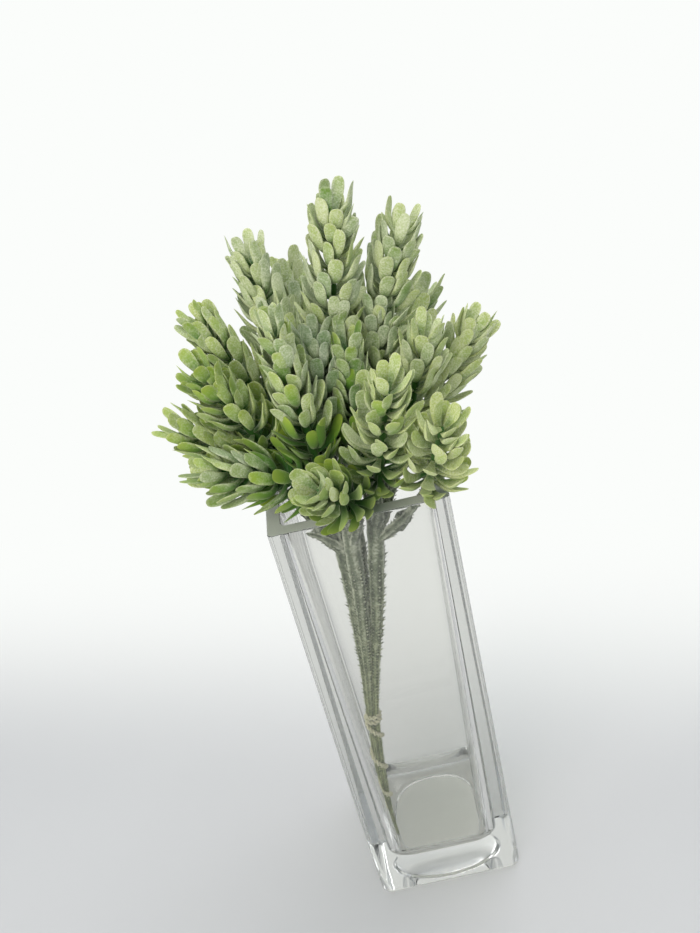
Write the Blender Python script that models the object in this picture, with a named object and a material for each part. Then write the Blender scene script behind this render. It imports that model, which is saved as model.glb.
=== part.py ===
"""A bunch of burro's tail standing in a square glass vase, at rest. Metres, +Z up."""

import math
import random

import bmesh
import bpy
from mathutils import Vector

MM = 0.001
GAP = 0.3  # clear space between pieces that touch, mm
FOOT_GAP = 0.4  # the same, under the cut ends of the stems

# Vase: a square tumbler of thick clear glass, mm.
VASE_WIDTH = 60.0
VASE_HEIGHT = 200.0
VASE_CORNER = 1.8  # radius down the four upright edges
VASE_HEEL = 2.4  # radius round the foot
RIM_WALL = 4.65
RIM_EASE = 0.35  # flame-polished edge of the flat rim
RIM_INNER_CORNER = 2.2
FLOOR_THICKNESS = 15.0
FLOOR_FILLET = 9.0  # where the walls of the cavity turn into its floor
FLOOR_WALL = 6.8  # the walls thicken down to this, just above the fillet
FLOOR_CORNER = 7.5
PUNT_RADIUS = 23.0  # hollow under the foot
PUNT_DEPTH = 3.2
POINTS_PER_CORNER = 5
POINTS_PER_SIDE = 3

# The stems lean across the vase as one bundle: height, centre, radius of the ring
# they stand in, and thickness of one stem, mm.
BUNDLE = (
    (18.0, (-19.6, -12.0), 1.25, 1.1),
    (41.0, (-19.0, -13.0), 1.30, 1.1),
    (68.0, (-17.0, -13.6), 1.40, 1.2),
    (95.0, (-14.4, -14.0), 1.55, 1.45),
    (122.0, (-10.6, -13.4), 3.1, 2.1),
    (150.0, (-6.5, -12.4), 4.8, 2.9),
    (178.0, (-2.5, -11.0), 6.4, 3.6),
)
STEM_SIDES = 6
BRANCH_FOOT = 2.7  # thickness of a branch where it leaves the stem
BRANCH_TOP = 1.9  # and under the leaves
BRANCH_RINGS = 7
BRANCH_ROOT = 0.55  # share of that thickness where it starts, inside the stem
FORK_SINK = 2.4  # the highest branch starts this far below the end of its stem
FORK_STEP = 4.6  # and each further one this much lower
FORK_OFFSET = 0.45  # towards the side its head is on
SLIVER = 0.05  # edges shorter than this, left where a branch joins its stem, are closed up

# Bearing of each stem round the bundle, degrees from +X.
STEMS = {"left": 170.0, "front": 242.0, "right_front": 314.0, "right": 26.0, "back": 98.0}

# Leafy heads: the stem that bears each, its foot and its tip, mm.
HEADS = (
    ("back", (1, 5, 230), (16, 4, 297)),
    ("right", (9, 7, 223), (37, 12, 283)),
    ("back", (-11, 14, 217), (-17, 28, 280)),
    ("back", (-8, 25, 210), (-5, 54, 260)),
    ("right", (18, 22, 206), (43, 44, 243)),
    ("left", (-17, 5, 215), (-39, 11, 267)),
    ("left", (-22, -6, 211), (-39, -14, 261)),
    ("left", (-26, -10, 207), (-52, -11, 243)),
    ("front", (-14, -23, 209), (-48, -34, 231)),
    ("front", (-9, -14, 213), (-10, -23, 270)),
    ("right_front", (3, -9, 206), (7, -13, 248)),
    ("right_front", (11, -21, 207), (22, -36, 254)),
    ("right_front", (20, -5, 208), (36, -8, 254)),
    ("right", (25, 7, 206), (53, 7, 243)),
    ("right_front", (25, -19, 206), (33, -44, 238)),
    ("front", (-3, -25, 205), (-9, -56, 234)),
    ("front", (-4, -6, 211), (0, -7, 262)),
    ("right", (12, 4, 209), (26, 5, 254)),
)

# Leaves of a head, mm and degrees, at its foot, at mid height and at its tip.
LEAVES_PER_WHORL = 6
WHORL_STEP = 4.3
LEAF_LENGTH = (13.0, 14.8, 11.0)
LEAF_WIDTH = (5.2, 6.0, 4.4)
LEAF_THICKNESS = (1.7, 1.6, 0.9)
LEAF_LEAN = (48.0, 42.0, 27.0)
LEAF_WIDEST = 0.62  # share of the length
LEAF_TIP_WIDTH = 0.6  # share of the full width
LEAF_INCURVE = 7.0  # the outer part of a leaf turns back towards the axis
CORE_FOOT = 1.9
CORE_TOP = 1.0
BUD_HEIGHT = 2.2
SCATTER_LEAN = 1.5
SCATTER_LENGTH = 0.06
CELL_MARGIN = 0.3
SEED = 7

# Thread wound round the bundle, mm: height and number of turns made by then.
THREAD_PATH = ((97.0, 0.0), (94.5, 1.0), (91.5, 2.0), (73.0, 3.0), (54.0, 4.0), (38.0, 5.0))
THREAD_WIDTH = 0.9
THREAD_SIDES = 5
THREAD_STEPS = 11  # per turn


def clear_scene():
    for obj in list(bpy.data.objects):
        bpy.data.objects.remove(obj, do_unlink=True)


def material(name, color, roughness, metallic=0.0):
    made = bpy.data.materials.new(name)
    made.use_nodes = True
    shader = made.node_tree.nodes["Principled BSDF"]
    shader.inputs["Base Color"].default_value = (*color, 1.0)
    shader.inputs["Roughness"].default_value = roughness
    shader.inputs["Metallic"].default_value = metallic
    made.diffuse_color = (*color, 1.0)
    return made


def mesh_object(name, points, faces, finish, smooth):
    """An object from points in mm, with its faces turned outwards."""
    mesh = bpy.data.meshes.new(name)
    mesh.from_pydata([Vector(p) * MM for p in points], [], faces)
    work = bmesh.new()
    work.from_mesh(mesh)
    bmesh.ops.recalc_face_normals(work, faces=work.faces)
    for face in work.faces:
        face.smooth = smooth
    work.to_mesh(mesh)
    work.free()
    mesh.materials.append(finish)
    obj = bpy.data.objects.new(name, mesh)
    bpy.context.scene.collection.objects.link(obj)
    return obj


def loft(rings, closed_loop=False, first_pole=None, last_pole=None):
    """Points and faces of a skin over rings of equal size. Each end is a flat cap, or a fan to a pole."""
    count = len(rings[0])
    points = [p for ring in rings for p in ring]
    faces = []
    for row in range(len(rings) - 1):
        for i in range(count):
            j = (i + 1) % count
            low, high = row * count, (row + 1) * count
            faces.append((low + i, low + j, high + j, high + i))
    last = (len(rings) - 1) * count
    for start, pole, turn in ((0, first_pole, 1), (last, last_pole, -1)):
        ring = list(range(start, start + count))[::-turn]
        if pole is None:
            faces.append(tuple(ring))
            continue
        points.append(pole)
        centre = len(points) - 1
        faces += [(ring[i], ring[(i + 1) % count], centre) for i in range(count)]
    return points, faces


def lerp(low, high, share):
    return low + (high - low) * share


def three_way(values, share):
    """Foot, middle and tip values blended smoothly along a head."""
    foot, middle, tip = values
    return foot * (1 - share) * (1 - 2 * share) + 4 * middle * share * (1 - share) + tip * share * (2 * share - 1)


def across(direction):
    """Two unit vectors square to a direction."""
    side = Vector((1, 0, 0)) if abs(direction.x) < 0.8 else Vector((0, 1, 0))
    first = (side - direction * side.dot(direction)).normalized()
    return first, direction.cross(first).normalized()


def tube(path, radii, sides):
    """A closed round bar along a path. Its rings turn as little as they can."""
    rings = []
    first = None
    for i, point in enumerate(path):
        before, after = path[max(i - 1, 0)], path[min(i + 1, len(path) - 1)]
        along = (after - before).normalized()
        if first is None:
            first = across(along)[0]
        first = (first - along * first.dot(along)).normalized()
        second = along.cross(first)
        turn = [2 * math.pi * k / sides for k in range(sides)]
        rings.append([point + radii[i] * (first * math.cos(a) + second * math.sin(a)) for a in turn])
    return loft(rings)


def rounded_square(half, corner, z):
    """One level ring of a square with rounded corners, starting on the +X side."""
    ring = []
    for quarter in range(4):
        base = quarter * math.pi / 2
        out = Vector((math.cos(base), math.sin(base), 0))
        along = Vector((-math.sin(base), math.cos(base), 0))
        straight = half - corner
        for k in range(POINTS_PER_SIDE):
            share = (k + 1) / (POINTS_PER_SIDE + 1)
            ring.append(out * half + along * straight * (2 * share - 1) + Vector((0, 0, z)))
        middle = out * straight + along * straight
        for k in range(POINTS_PER_CORNER):
            angle = math.pi / 2 * k / (POINTS_PER_CORNER - 1)
            ring.append(middle + corner * (out * math.cos(angle) + along * math.sin(angle)) + Vector((0, 0, z)))
    return ring


def round_ring(radius, z):
    """A level circle whose points lie on the same bearings as those of a rounded square."""
    ring = []
    for point in rounded_square(1.0, 0.55, 0):
        flat = point.normalized() * radius
        ring.append(Vector((flat.x, flat.y, z)))
    return ring


def build_vase(finish):
    half = VASE_WIDTH / 2
    rings = []
    for share in (0.5, 0.8, 1.0):
        rings.append(round_ring(PUNT_RADIUS * share, PUNT_DEPTH * (1 - share**2)))
    for step in range(4):
        angle = math.pi / 2 * step / 3
        inset = VASE_HEEL * (1 - math.sin(angle))
        corner = VASE_CORNER + (VASE_HEEL - inset) * 0.2
        rings.append(rounded_square(half - inset, corner, VASE_HEEL * (1 - math.cos(angle))))
    rings.append(rounded_square(half, VASE_CORNER, VASE_HEIGHT - RIM_EASE))
    rings.append(rounded_square(half - RIM_EASE, VASE_CORNER, VASE_HEIGHT))
    mouth = half - RIM_WALL
    rings.append(rounded_square(mouth + RIM_EASE, RIM_INNER_CORNER, VASE_HEIGHT))
    rings.append(rounded_square(mouth, RIM_INNER_CORNER, VASE_HEIGHT - RIM_EASE))
    fillet_top = FLOOR_THICKNESS + FLOOR_FILLET
    foot = half - FLOOR_WALL
    rings.append(rounded_square(lerp(foot, mouth, 0.5), lerp(FLOOR_CORNER, RIM_INNER_CORNER, 0.6), 110.0))
    for step in range(5):
        angle = math.pi / 2 * step / 4
        inset = FLOOR_FILLET * (1 - math.cos(angle))
        z = fillet_top - FLOOR_FILLET * math.sin(angle)
        rings.append(rounded_square(foot - inset, FLOOR_CORNER, z))
    under, floor = Vector((0, 0, PUNT_DEPTH)), Vector((0, 0, FLOOR_THICKNESS))
    points, faces = loft(rings, first_pole=under, last_pole=floor)
    mesh_object("vase", points, faces, finish, smooth=False)


def bundle_at(z):
    """Centre, ring radius and stem thickness of the bundle at a height, blended between its stations."""
    for low, high in zip(BUNDLE, BUNDLE[1:]):
        if z <= high[0]:
            break
    share = (z - low[0]) / (high[0] - low[0])
    centre = Vector((lerp(low[1][0], high[1][0], share), lerp(low[1][1], high[1][1], share), z))
    return centre, lerp(low[2], high[2], share), lerp(low[3], high[3], share)


def cavity_floor(x, y):
    """Height of the glass inside the vase, on its flat floor or up the fillet round it."""
    flat = VASE_WIDTH / 2 - FLOOR_WALL - FLOOR_FILLET
    beyond = max(abs(x), abs(y), flat) - flat
    return FLOOR_THICKNESS + FLOOR_FILLET - math.sqrt(FLOOR_FILLET**2 - beyond**2)


def stem_path(bearing):
    """Centre line and radii of one stem, from its cut end on the floor of the vase up to its fork."""
    path, radii = [], []
    for z in (station[0] for station in BUNDLE):
        centre, ring, thickness = bundle_at(z)
        angle = math.radians(bearing)
        path.append(centre + ring * Vector((math.cos(angle), math.sin(angle), 0)))
        radii.append(thickness / 2)
    foot = path[0]
    foot.z = cavity_floor(abs(foot.x) + radii[0], foot.y) + FOOT_GAP
    return path, radii


def head_frame(foot, tip):
    foot, tip = Vector(foot), Vector(tip)
    return foot, (tip - foot).normalized(), (tip - foot).length


def blend_curve(start, out_handle, in_handle, end, steps):
    line = []
    for i in range(steps + 1):
        t = i / steps
        s = 1 - t
        line.append(start * s**3 + out_handle * 3 * s * s * t + in_handle * 3 * s * t * t + end * t**3)
    return line


def branch_path(number):
    """A smooth line from inside its stem to just under a head. The first head of a stem has the highest fork."""
    stem, foot, tip = HEADS[number]
    order = sum(other[0] == stem for other in HEADS[:number])
    path, _ = stem_path(STEMS[stem])
    rise = (path[-1] - path[-2]).normalized()
    foot, axis, _ = head_frame(foot, tip)
    end = foot - axis * GAP
    start = path[-1] - rise * (FORK_SINK + FORK_STEP * order)
    away = end - start
    away = (away - rise * away.dot(rise)).normalized()
    start += away * FORK_OFFSET
    reach = (end - start).length
    return blend_curve(start, start + rise * reach * 0.4, end - axis * reach * 0.35, end, BRANCH_RINGS - 1)


def branch_radii():
    radii = [lerp(BRANCH_FOOT, BRANCH_TOP, i / (BRANCH_RINGS - 1)) / 2 for i in range(BRANCH_RINGS)]
    radii[0] *= BRANCH_ROOT
    return radii


def build_stems(finish):
    for stem, bearing in STEMS.items():
        path, radii = stem_path(bearing)
        points, faces = tube(path, radii, STEM_SIDES)
        body = mesh_object(f"stem_{stem}", points, faces, finish, smooth=True)
        for number, head in enumerate(HEADS):
            if head[0] != stem:
                continue
            points, faces = tube(branch_path(number), branch_radii(), STEM_SIDES)
            branch = mesh_object(f"branch_{number + 1:02d}", points, faces, finish, smooth=True)
            branch.hide_render = True
            branch.display_type = "WIRE"
            union = body.modifiers.new(branch.name, "BOOLEAN")
            union.operation = "UNION"
            union.solver = "EXACT"
            union.object = branch
        weld = body.modifiers.new("weld_slivers", "WELD")
        weld.merge_threshold = SLIVER * MM


def distance_to_line(point, start, end):
    along = end - start
    share = max(0.0, min(1.0, (point - start).dot(along) / along.length_squared))
    return (point - start - along * share).length


def leaf_points(base, out, side, axis, lean, length, width, thickness):
    """The five outer corners of a leaf: left, right and keel at its widest, then its two tip corners."""
    start = (base[0] + base[1] + base[2]) / 3
    first = math.radians(lean + LEAF_INCURVE / 2)
    last = math.radians(lean - LEAF_INCURVE / 2)
    blade = axis * math.cos(first) + out * math.sin(first)
    face = axis * math.sin(first) - out * math.cos(first)
    widest = start + blade * length * LEAF_WIDEST
    outer = axis * math.cos(last) + out * math.sin(last)
    tip = widest + outer * length * (1 - LEAF_WIDEST)
    half = side * width / 2
    top = widest + face * thickness * 0.3
    keel = widest - face * thickness * 0.7
    point = half * LEAF_TIP_WIDTH
    return [top - half, top + half, keel, tip - point, tip + point]


def room_for(points, own, others, branches):
    """Whether the points keep to their own head's side of every neighbour, and off the branches and the vase."""
    for point in points:
        near = distance_to_line(point, *own)
        for other in others:
            if distance_to_line(point, *other) < near + 2 * CELL_MARGIN:
                return False
        for start, end in branches:
            if distance_to_line(point, start, end) < BRANCH_FOOT / 2 + 2 * CELL_MARGIN:
                return False
        if point.z < VASE_HEIGHT + 1.5:
            return False
    return True


def build_head(number, finish, rng):
    _, foot, tip = HEADS[number]
    foot, axis, length = head_frame(foot, tip)
    first, second = across(axis)
    own = (foot, Vector(tip))
    others = [(Vector(h[1]), Vector(h[2])) for i, h in enumerate(HEADS) if i != number]
    branches = []
    for i in range(len(HEADS)):
        if i != number:
            line = branch_path(i)
            branches += list(zip(line, line[1:]))
    leafy = length - LEAF_LENGTH[2]
    bands = round(leafy / WHORL_STEP)
    step = leafy / bands
    phase = rng.uniform(0, 2 * math.pi)
    half_turn = math.pi / LEAVES_PER_WHORL

    def around(k, i):
        return phase + (2 * i + k % 2) * half_turn

    points = []
    for k in range(bands + 1):
        radius = lerp(CORE_FOOT, CORE_TOP, k / bands)
        for i in range(LEAVES_PER_WHORL):
            angle = around(k, i)
            spoke = first * math.cos(angle) + second * math.sin(angle)
            points.append(foot + axis * k * step + spoke * radius)
    faces = [tuple(reversed(range(LEAVES_PER_WHORL)))]
    for k in range(bands):
        share = (k + 0.5) / bands
        for i in range(LEAVES_PER_WHORL):
            shift = k % 2
            low = k * LEAVES_PER_WHORL + i
            low_next = k * LEAVES_PER_WHORL + (i + 1) % LEAVES_PER_WHORL
            left = (k + 1) * LEAVES_PER_WHORL + (i - 1 + shift) % LEAVES_PER_WHORL
            right = (k + 1) * LEAVES_PER_WHORL + (i + shift) % LEAVES_PER_WHORL
            faces.append((low, low_next, right))
            angle = around(k, i)
            out = first * math.cos(angle) + second * math.sin(angle)
            side = axis.cross(out)
            lean = three_way(LEAF_LEAN, share) + rng.uniform(-SCATTER_LEAN, SCATTER_LEAN)
            size = 1 + rng.uniform(-SCATTER_LENGTH, SCATTER_LENGTH)
            base = (points[low], points[right], points[left])
            for trim in (1.0, 0.88, 0.76, 0.64, 0.52):
                corners = leaf_points(
                    base,
                    out,
                    side,
                    axis,
                    lean,
                    three_way(LEAF_LENGTH, share) * size * trim,
                    three_way(LEAF_WIDTH, share) * math.sqrt(trim),
                    three_way(LEAF_THICKNESS, share),
                )
                if room_for(corners, own, others, branches):
                    break
            else:
                faces.append((low, right, left))
                continue
            a = len(points)
            points += corners
            b, keel, c, d = a + 1, a + 2, a + 3, a + 4
            faces += [(left, low, keel, a), (low, right, b, keel), (right, left, a, b)]
            faces += [(b, a, c, d), (a, keel, c), (keel, b, d), (keel, d, c)]
    top = bands * LEAVES_PER_WHORL
    points.append(foot + axis * (leafy + BUD_HEIGHT))
    for i in range(LEAVES_PER_WHORL):
        faces.append((top + i, top + (i + 1) % LEAVES_PER_WHORL, len(points) - 1))
    mesh_object(f"leafy_head_{number + 1:02d}", points, faces, finish, smooth=False)


def build_thread(finish):
    path = []
    for (z0, turn0), (z1, turn1) in zip(THREAD_PATH, THREAD_PATH[1:]):
        steps = round((turn1 - turn0) * THREAD_STEPS)
        for i in range(steps):
            share = i / steps
            path.append((lerp(z0, z1, share), lerp(turn0, turn1, share)))
    path.append(THREAD_PATH[-1])
    line = []
    for z, turns in path:
        centre, ring, thickness = bundle_at(z)
        reach = ring + thickness / 2 + GAP + THREAD_WIDTH / 2
        angle = math.radians(200) - 2 * math.pi * turns
        line.append(centre + reach * Vector((math.cos(angle), math.sin(angle), 0)))
    points, faces = tube(line, [THREAD_WIDTH / 2] * len(line), THREAD_SIDES)
    mesh_object("binding_thread", points, faces, finish, smooth=True)


def build():
    clear_scene()
    glass = material("clear_glass", (0.86, 0.89, 0.90), 0.04)
    flocked_stem = material("grey_green_stem", (0.30, 0.33, 0.27), 0.8)
    flocked_leaf = material("frosted_green_leaf", (0.36, 0.45, 0.22), 0.75)
    cotton = material("cream_thread", (0.72, 0.66, 0.48), 0.85)
    build_vase(glass)
    build_stems(flocked_stem)
    rng = random.Random(SEED)
    for number in range(len(HEADS)):
        build_head(number, flocked_leaf, rng)
    build_thread(cotton)


build()
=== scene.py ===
import math
import random

import bpy
import numpy as np
from mathutils import Matrix, Vector


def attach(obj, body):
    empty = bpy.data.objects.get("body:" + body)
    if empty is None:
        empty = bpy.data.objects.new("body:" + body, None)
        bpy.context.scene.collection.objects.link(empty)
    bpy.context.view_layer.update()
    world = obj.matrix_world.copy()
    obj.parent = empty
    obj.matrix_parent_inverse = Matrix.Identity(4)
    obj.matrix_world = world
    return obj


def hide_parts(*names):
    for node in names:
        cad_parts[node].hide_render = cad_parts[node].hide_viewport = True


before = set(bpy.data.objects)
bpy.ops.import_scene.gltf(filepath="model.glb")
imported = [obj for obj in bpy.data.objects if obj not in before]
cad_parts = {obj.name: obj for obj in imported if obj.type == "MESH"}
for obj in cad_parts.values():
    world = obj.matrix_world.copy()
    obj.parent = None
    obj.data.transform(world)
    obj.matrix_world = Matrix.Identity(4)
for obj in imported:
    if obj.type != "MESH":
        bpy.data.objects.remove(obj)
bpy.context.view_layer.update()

# ---------------------------------------------------------------------------
# The vase: a square bud vase of clear soda-lime glass, pressed in one piece.
# Thick walls, a heavy foot with a shallow hollow under it, and a flat rim
# that was ground level and left satin.
# ---------------------------------------------------------------------------

MM = 0.001
VASE_HALF = 30.0
VASE_TOP = 200.0
CORNER = 1.8
HEEL = 2.4
# The upright corners are this much rounder at the foot, less and less up to this height.
FOOT_ROUNDER = 2.4
FOOT_ROUNDER_TO = 30.0
RIM_WALL = 4.65
RIM_EASE = 0.35
MOUTH_CORNER = 2.2
# From the rim the inside narrows slowly to this height, then faster to the fillet round its floor.
WALL_KNEE = 110.0
KNEE_CORNER_SHARE = 0.6
FLOOR = 15.0
FLOOR_FILLET = 9.0
FLOOR_WALL = 6.8
FLOOR_CORNER = 7.5
# The hollow under the foot: its radius, how deep its edge steps up, half the width of that step, and
# how much further it domes.
PUNT = 23.0
PUNT_STEP = 1.1
PUNT_EDGE = 0.9
PUNT_DEPTH = 0.2
ARC_POINTS = 13
FLAT_POINTS = 7
GLASS_IOR = 1.52


def linear(code):
    """A colour written as an sRGB hex value, as linear RGBA."""
    channels = []
    for i in (0, 2, 4):
        c = int(code[i : i + 2], 16) / 255
        channels.append(c / 12.92 if c <= 0.04045 else ((c + 0.055) / 1.055) ** 2.4)
    return (*channels, 1.0)


def per_mm(size):
    """The scale of a pattern whose features are this many millimetres apart."""
    return 1.0 / (size * MM)


def add(tree, kind, settings=None, **sockets):
    """Adds a node. A socket is named with _ for its spaces, or i0, i1 by its number, and takes a value
    or a link."""
    node = tree.nodes.new(kind)
    for key, value in (settings or {}).items():
        setattr(node, key, value)
    for key, value in sockets.items():
        if key[0] == "i" and key[1:].isdigit():
            socket = node.inputs[int(key[1:])]
        else:
            socket = node.inputs[key.replace("_", " ")]
        if isinstance(value, bpy.types.NodeSocket):
            tree.links.new(value, socket)
        else:
            socket.default_value = value
    return node


def new_material(name):
    """An empty node material, its tree and its output node."""
    made = bpy.data.materials.new(name)
    made.use_nodes = True
    made.node_tree.nodes.clear()
    return made, made.node_tree, made.node_tree.nodes.new("ShaderNodeOutputMaterial")


def piece(name, points, faces, finish, node):
    """A smooth-shaded object from points in mm, hung under the root body. It stands for one CAD node, which
    it hides.
    """
    mesh = bpy.data.meshes.new(name)
    mesh.from_pydata((np.asarray(points, float) * MM).tolist(), [], faces)
    mesh.polygons.foreach_set("use_smooth", [True] * len(mesh.polygons))
    mesh.materials.append(finish)
    mesh.update()
    made = bpy.data.objects.new(name, mesh)
    bpy.context.scene.collection.objects.link(made)
    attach(made, "root")
    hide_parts(node)
    return made


def skin(rings, first_pole, last_pole):
    """Points and faces of one closed skin over rings of equal size, drawn in to a pole at each end."""
    count = len(rings[0])
    points = np.concatenate([np.asarray(rings, float).reshape(-1, 3), [first_pole, last_pole]])
    faces = []
    for row in range(len(rings) - 1):
        for i in range(count):
            j = (i + 1) % count
            low, high = row * count, (row + 1) * count
            faces.append((low + i, low + j, high + j, high + i))
    last, pole = (len(rings) - 1) * count, len(rings) * count
    for i in range(count):
        j = (i + 1) % count
        faces.append((i, pole, j))
        faces.append((last + i, last + j, pole + 1))
    return points, faces


def square_ring(half, corner, z):
    """One level ring of a square with round corners. Close pairs of points keep each flat side flat."""
    straight = half - corner
    hold = 0.25
    reach = straight - hold
    ring = []
    for quarter in range(4):
        turn = quarter * math.pi / 2
        out = np.array((math.cos(turn), math.sin(turn), 0.0))
        along = np.array((-math.sin(turn), math.cos(turn), 0.0))
        for k in range(FLAT_POINTS):
            share = k / (FLAT_POINTS - 1) * 2 - 1
            ring.append(out * half + along * reach * share)
        for k in range(ARC_POINTS):
            angle = math.pi / 2 * k / (ARC_POINTS - 1)
            bend = out * math.cos(angle) + along * math.sin(angle)
            ring.append((out + along) * straight + corner * bend)
    return np.array(ring) + (0.0, 0.0, z)


def round_ring(radius, z):
    """One level ring of a circle, with the points of a square one."""
    ring = square_ring(1.0, 0.6, 0.0)
    ring *= radius / np.linalg.norm(ring[:, :2], axis=1)[:, None]
    return ring + (0.0, 0.0, z)


def smooth_step(x):
    """From 0 to 1 with a soft start and end."""
    x = np.clip(x, 0.0, 1.0)
    return x * x * (3 - 2 * x)


def vase_rings():
    """From the middle of the hollow foot, out and up the outside, over the rim and down the inside."""
    rings = []
    for share in (0.12, 0.3, 0.5, 0.7, 0.85, 0.95):
        rings.append(round_ring((PUNT - 1.0) * share, PUNT_STEP + PUNT_DEPTH * (1 - share**2)))
    for step in range(9):
        share = step / 8
        radius = PUNT - PUNT_EDGE + 2 * PUNT_EDGE * share
        rings.append(round_ring(radius, PUNT_STEP * (1 - smooth_step(share))))
    rings.append(round_ring(PUNT + 1.5, 0.0))
    rings.append(square_ring(VASE_HALF - HEEL - 0.3, CORNER + 1.0, 0.0))
    for step in range(9):
        angle = math.pi / 2 * step / 8
        inset = HEEL * (1 - math.sin(angle))
        corner = CORNER + FOOT_ROUNDER - inset * 0.5
        rings.append(square_ring(VASE_HALF - inset, corner, HEEL * (1 - math.cos(angle))))
    for z in (3.0, 20.0, 60.0, 100.0, 140.0, 180.0, VASE_TOP - RIM_EASE - 0.3):
        corner = CORNER + FOOT_ROUNDER * max(0.0, 1 - z / FOOT_ROUNDER_TO)
        rings.append(square_ring(VASE_HALF, corner, z))
    for step in range(5):
        angle = math.pi / 2 * step / 4
        inset = RIM_EASE * (1 - math.cos(angle))
        z = VASE_TOP - RIM_EASE * (1 - math.sin(angle))
        rings.append(square_ring(VASE_HALF - inset, CORNER, z))
    mouth = VASE_HALF - RIM_WALL
    rings.append(square_ring(VASE_HALF - RIM_EASE - 0.2, CORNER, VASE_TOP))
    rings.append(square_ring(mouth + RIM_EASE + 0.2, MOUTH_CORNER, VASE_TOP))
    for step in range(5):
        angle = math.pi / 2 * step / 4
        inset = RIM_EASE * (1 - math.sin(angle))
        z = VASE_TOP - RIM_EASE * (1 - math.cos(angle))
        rings.append(square_ring(mouth + inset, MOUTH_CORNER, z))
    low_half = VASE_HALF - FLOOR_WALL
    low_z = FLOOR + FLOOR_FILLET
    knee_half = (mouth + low_half) / 2
    knee_corner = FLOOR_CORNER + (MOUTH_CORNER - FLOOR_CORNER) * KNEE_CORNER_SHARE
    for step in range(1, 7):
        share = step / 6
        half = mouth + (knee_half - mouth) * share
        corner = MOUTH_CORNER + (knee_corner - MOUTH_CORNER) * share
        rings.append(square_ring(half, corner, VASE_TOP + (WALL_KNEE - VASE_TOP) * share))
    for step in range(1, 7):
        share = step / 6
        half = knee_half + (low_half - knee_half) * share
        corner = knee_corner + (FLOOR_CORNER - knee_corner) * share
        rings.append(square_ring(half, corner, WALL_KNEE + (low_z - WALL_KNEE) * share))
    for step in range(1, 13):
        angle = math.pi / 2 * step / 12
        inset = FLOOR_FILLET * (1 - math.cos(angle))
        z = low_z - FLOOR_FILLET * math.sin(angle)
        rings.append(square_ring(low_half - inset, FLOOR_CORNER, z))
    rings.append(square_ring(low_half - FLOOR_FILLET - 2.5, FLOOR_CORNER - 1.5, FLOOR))
    rings.append(square_ring(4.0, 1.6, FLOOR))
    return rings


def pressed_glass():
    """Clear soda-lime glass, pressed and fire-polished: sharp reflections that waver a little along
    the walls, and a faint grey-green where the eye looks through a lot of it. Light falls through it."""
    finish, tree, out = new_material("clear_pressed_soda_lime_glass")
    place = add(tree, "ShaderNodeTexCoord").outputs["Object"]
    swell = add(tree, "ShaderNodeTexNoise", Vector=place, Scale=per_mm(34.0), Detail=1.0)
    bump = add(tree, "ShaderNodeBump", Strength=0.2, Distance=0.2 * MM, Height=swell.outputs[0])
    apart = add(tree, "ShaderNodeSeparateXYZ", Vector=place)
    # The foot chilled against the mould, and wavers more than the walls.
    chill = add(tree, "ShaderNodeTexNoise", Vector=place, Scale=per_mm(11.0), Detail=1.0)
    height = apart.outputs[2]
    waver = add(tree, "ShaderNodeMapRange", i0=height, i1=3.0 * MM, i2=17.0 * MM, i3=0.2, i4=0.0)
    bump = add(
        tree,
        "ShaderNodeBump",
        Strength=waver.outputs[0],
        Distance=0.35 * MM,
        Height=chill.outputs[0],
        Normal=bump.outputs[0],
    )
    flat = add(tree, "ShaderNodeCombineXYZ", i0=apart.outputs[0], i1=apart.outputs[1])
    reach = add(tree, "ShaderNodeVectorMath", {"operation": "LENGTH"}, i0=flat.outputs[0]).outputs["Value"]
    # The hollow under the foot was never fire-polished, so it is faintly satin.
    within = add(tree, "ShaderNodeMath", {"operation": "LESS_THAN"}, i0=reach, i1=(PUNT - 1.0) * MM)
    under = add(tree, "ShaderNodeMath", {"operation": "LESS_THAN"}, i0=height, i1=2 * PUNT_STEP * MM)
    satin = add(tree, "ShaderNodeMath", {"operation": "MULTIPLY"}, i0=within.outputs[0], i1=under.outputs[0])
    satin = add(tree, "ShaderNodeMath", {"operation": "MULTIPLY"}, i0=satin.outputs[0], i1=0.18)
    glass = add(
        tree,
        "ShaderNodeBsdfPrincipled",
        Base_Color=linear("f6f6f4"),
        Roughness=satin.outputs[0],
        IOR=GLASS_IOR,
        Transmission_Weight=1.0,
        Normal=bump.outputs[0],
    )
    # Less light falls through the ring that the vase stands on, so it has its own shadow.
    ring = add(tree, "ShaderNodeMapRange", i0=reach, i1=(PUNT - 0.6) * MM, i2=(PUNT + 0.6) * MM)
    foot = add(tree, "ShaderNodeMath", {"operation": "LESS_THAN"}, i0=height, i1=HEEL / 2 * MM)
    shade = add(tree, "ShaderNodeMath", {"operation": "MULTIPLY"}, i0=ring.outputs[0], i1=foot.outputs[0])
    fall = add(
        tree,
        "ShaderNodeMix",
        {"data_type": "RGBA"},
        i0=shade.outputs[0],
        i6=linear("e9ebe8"),
        i7=linear("868983"),
    )
    clear = add(tree, "ShaderNodeBsdfTransparent", Color=fall.outputs[2])
    rays = add(tree, "ShaderNodeLightPath")
    mixed = add(
        tree,
        "ShaderNodeMixShader",
        i0=rays.outputs["Is Shadow Ray"],
        i1=glass.outputs[0],
        i2=clear.outputs[0],
    )
    tree.links.new(mixed.outputs[0], out.inputs["Surface"])
    depth = add(tree, "ShaderNodeVolumeAbsorption", Color=(0.1, 0.13, 0.09, 1.0), Density=5.0)
    tree.links.new(depth.outputs[0], out.inputs["Volume"])
    return finish


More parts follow.
